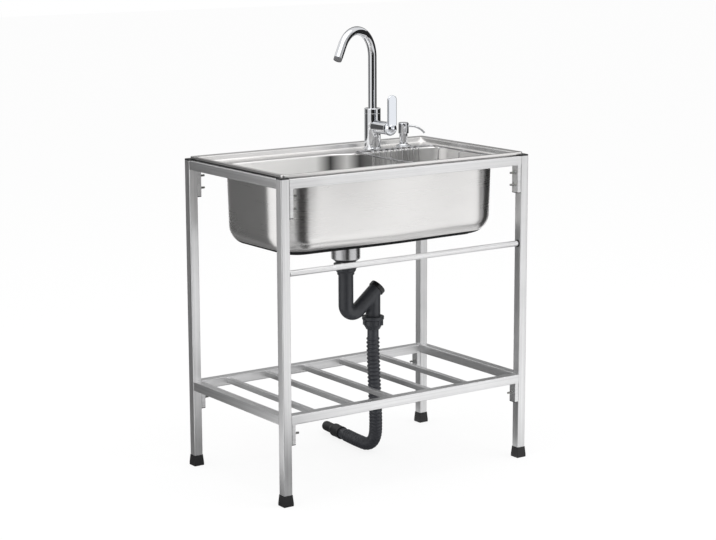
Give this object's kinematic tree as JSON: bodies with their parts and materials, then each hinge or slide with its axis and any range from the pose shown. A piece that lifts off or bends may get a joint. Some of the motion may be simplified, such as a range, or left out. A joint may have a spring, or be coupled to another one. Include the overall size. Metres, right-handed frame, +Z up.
{
  "type": "kitchen sink unit",
  "caption": "Free-standing kitchen sink unit: a single-bowl steel sink on a tube stand with shelf, swivel mixer, soap pump, wire basket, strainer, trap and ribbed drain hose.",
  "frame": {"origin": "on the floor, at the centre of the stand's footprint", "axes": "+X to the right along the front, +Y from the front to the back, +Z up"},
  "size_m": [0.805, 0.5414, 1.1929],
  "materials": {
    "stand_steel": "satin brushed stainless steel, grain along the tube",
    "black_foot": "moulded, matt",
    "zinc_steel": "zinc plated",
    "sink_steel": "brushed stainless steel, satin",
    "sound_pad": "matt damping sheet",
    "black_pipe": "moulded, semi-gloss",
    "tap_chrome": "polished",
    "aerator_black": "moulded",
    "white_plastic": "moulded, satin",
    "basket_wire": "polished wire"
  },
  "bodies": {
    "stand": {"leg_front_left": "stand_steel", "leg_front_right": "stand_steel", "leg_back_left": "stand_steel", "leg_back_right": "stand_steel", "foot_front_left": "black_foot", "foot_front_right": "black_foot", "foot_back_left": "black_foot", "foot_back_right": "black_foot", "leg_cap_front_left": "black_foot", "leg_cap_front_right": "black_foot", "leg_cap_back_left": "black_foot", "leg_cap_back_right": "black_foot", "upper_rail_left": "stand_steel", "upper_rail_right": "stand_steel", "upper_rail_front": "stand_steel", "upper_rail_back": "stand_steel", "shelf_rail_left": "stand_steel", "shelf_rail_right": "stand_steel", "shelf_rail_front": "stand_steel", "shelf_rail_back": "stand_steel", "shelf_bar_1": "stand_steel", "shelf_bar_2": "stand_steel", "shelf_bar_3": "stand_steel", "shelf_bar_4": "stand_steel", "shelf_bar_5": "stand_steel", "towel_rail": "stand_steel", "upper_bolt_1_front_left": "zinc_steel", "upper_bolt_2_front_left": "zinc_steel", "shelf_bolt_front_left": "zinc_steel", "upper_bolt_1_front_right": "zinc_steel", "upper_bolt_2_front_right": "zinc_steel", "shelf_bolt_front_right": "zinc_steel", "upper_bolt_1_back_left": "zinc_steel", "upper_bolt_2_back_left": "zinc_steel", "shelf_bolt_back_left": "zinc_steel", "upper_bolt_1_back_right": "zinc_steel", "upper_bolt_2_back_right": "zinc_steel", "shelf_bolt_back_right": "zinc_steel", "sink": "sink_steel", "sound_pad": "sound_pad", "strainer_body": "sink_steel", "inlet_nut": "black_pipe", "trap": "black_pipe", "cleanout_cap": "black_pipe", "outlet_nut": "black_pipe", "drain_hose": "black_pipe", "hose_cuff": "black_pipe", "tap_body": "tap_chrome", "tap_nut": "zinc_steel", "dispenser_collar": "tap_chrome", "dispenser_nut": "black_pipe", "soap_bottle": "white_plastic"},
    "strainer": {"strainer_basket": "sink_steel"},
    "spout": {"spout": "tap_chrome", "aerator": "aerator_black"},
    "mixer_core": {"cartridge_core": "tap_chrome"},
    "mixer_lever": {"lever": "tap_chrome"},
    "pump_stem": {"pump_stem": "white_plastic"},
    "pump_head": {"pump_head": "tap_chrome"},
    "draining_basket": {"wire_basket": "basket_wire"}
  },
  "joints": [
    {"name": "spout_swivel", "type": "hinge", "parent": "stand", "child": "spout", "pos_m": [0.162, 0.158, 0.95], "axis": [0, 0, 1], "continuous": true},
    {"name": "mixer_turn", "type": "hinge", "parent": "stand", "child": "mixer_core", "pos_m": [0.162, 0.158, 0.91], "axis": [0, -1, 0], "range_deg": [-45, 45]},
    {"name": "mixer_lift", "type": "hinge", "parent": "mixer_core", "child": "mixer_lever", "pos_m": [0.162, 0.076, 0.91], "axis": [1, 0, 0], "range_deg": [0, 20]},
    {"name": "pump_press", "type": "slide", "parent": "stand", "child": "pump_stem", "axis": [0, 0, -1], "range_m": [0, 0.018], "stiffness_N_per_m": 200, "springref_m": -0.012},
    {"name": "pump_swivel", "type": "hinge", "parent": "pump_stem", "child": "pump_head", "pos_m": [0.27, 0.158, 0.9], "axis": [0, 0, 1], "continuous": true},
    {"name": "strainer_lift", "type": "slide", "parent": "stand", "child": "strainer", "axis": [0, 0, 1], "range_m": [0, 0.08]},
    {"name": "basket_slide", "type": "slide", "parent": "stand", "child": "draining_basket", "axis": [-1, 0, 0], "range_m": [0, 0.13]}
  ]
}
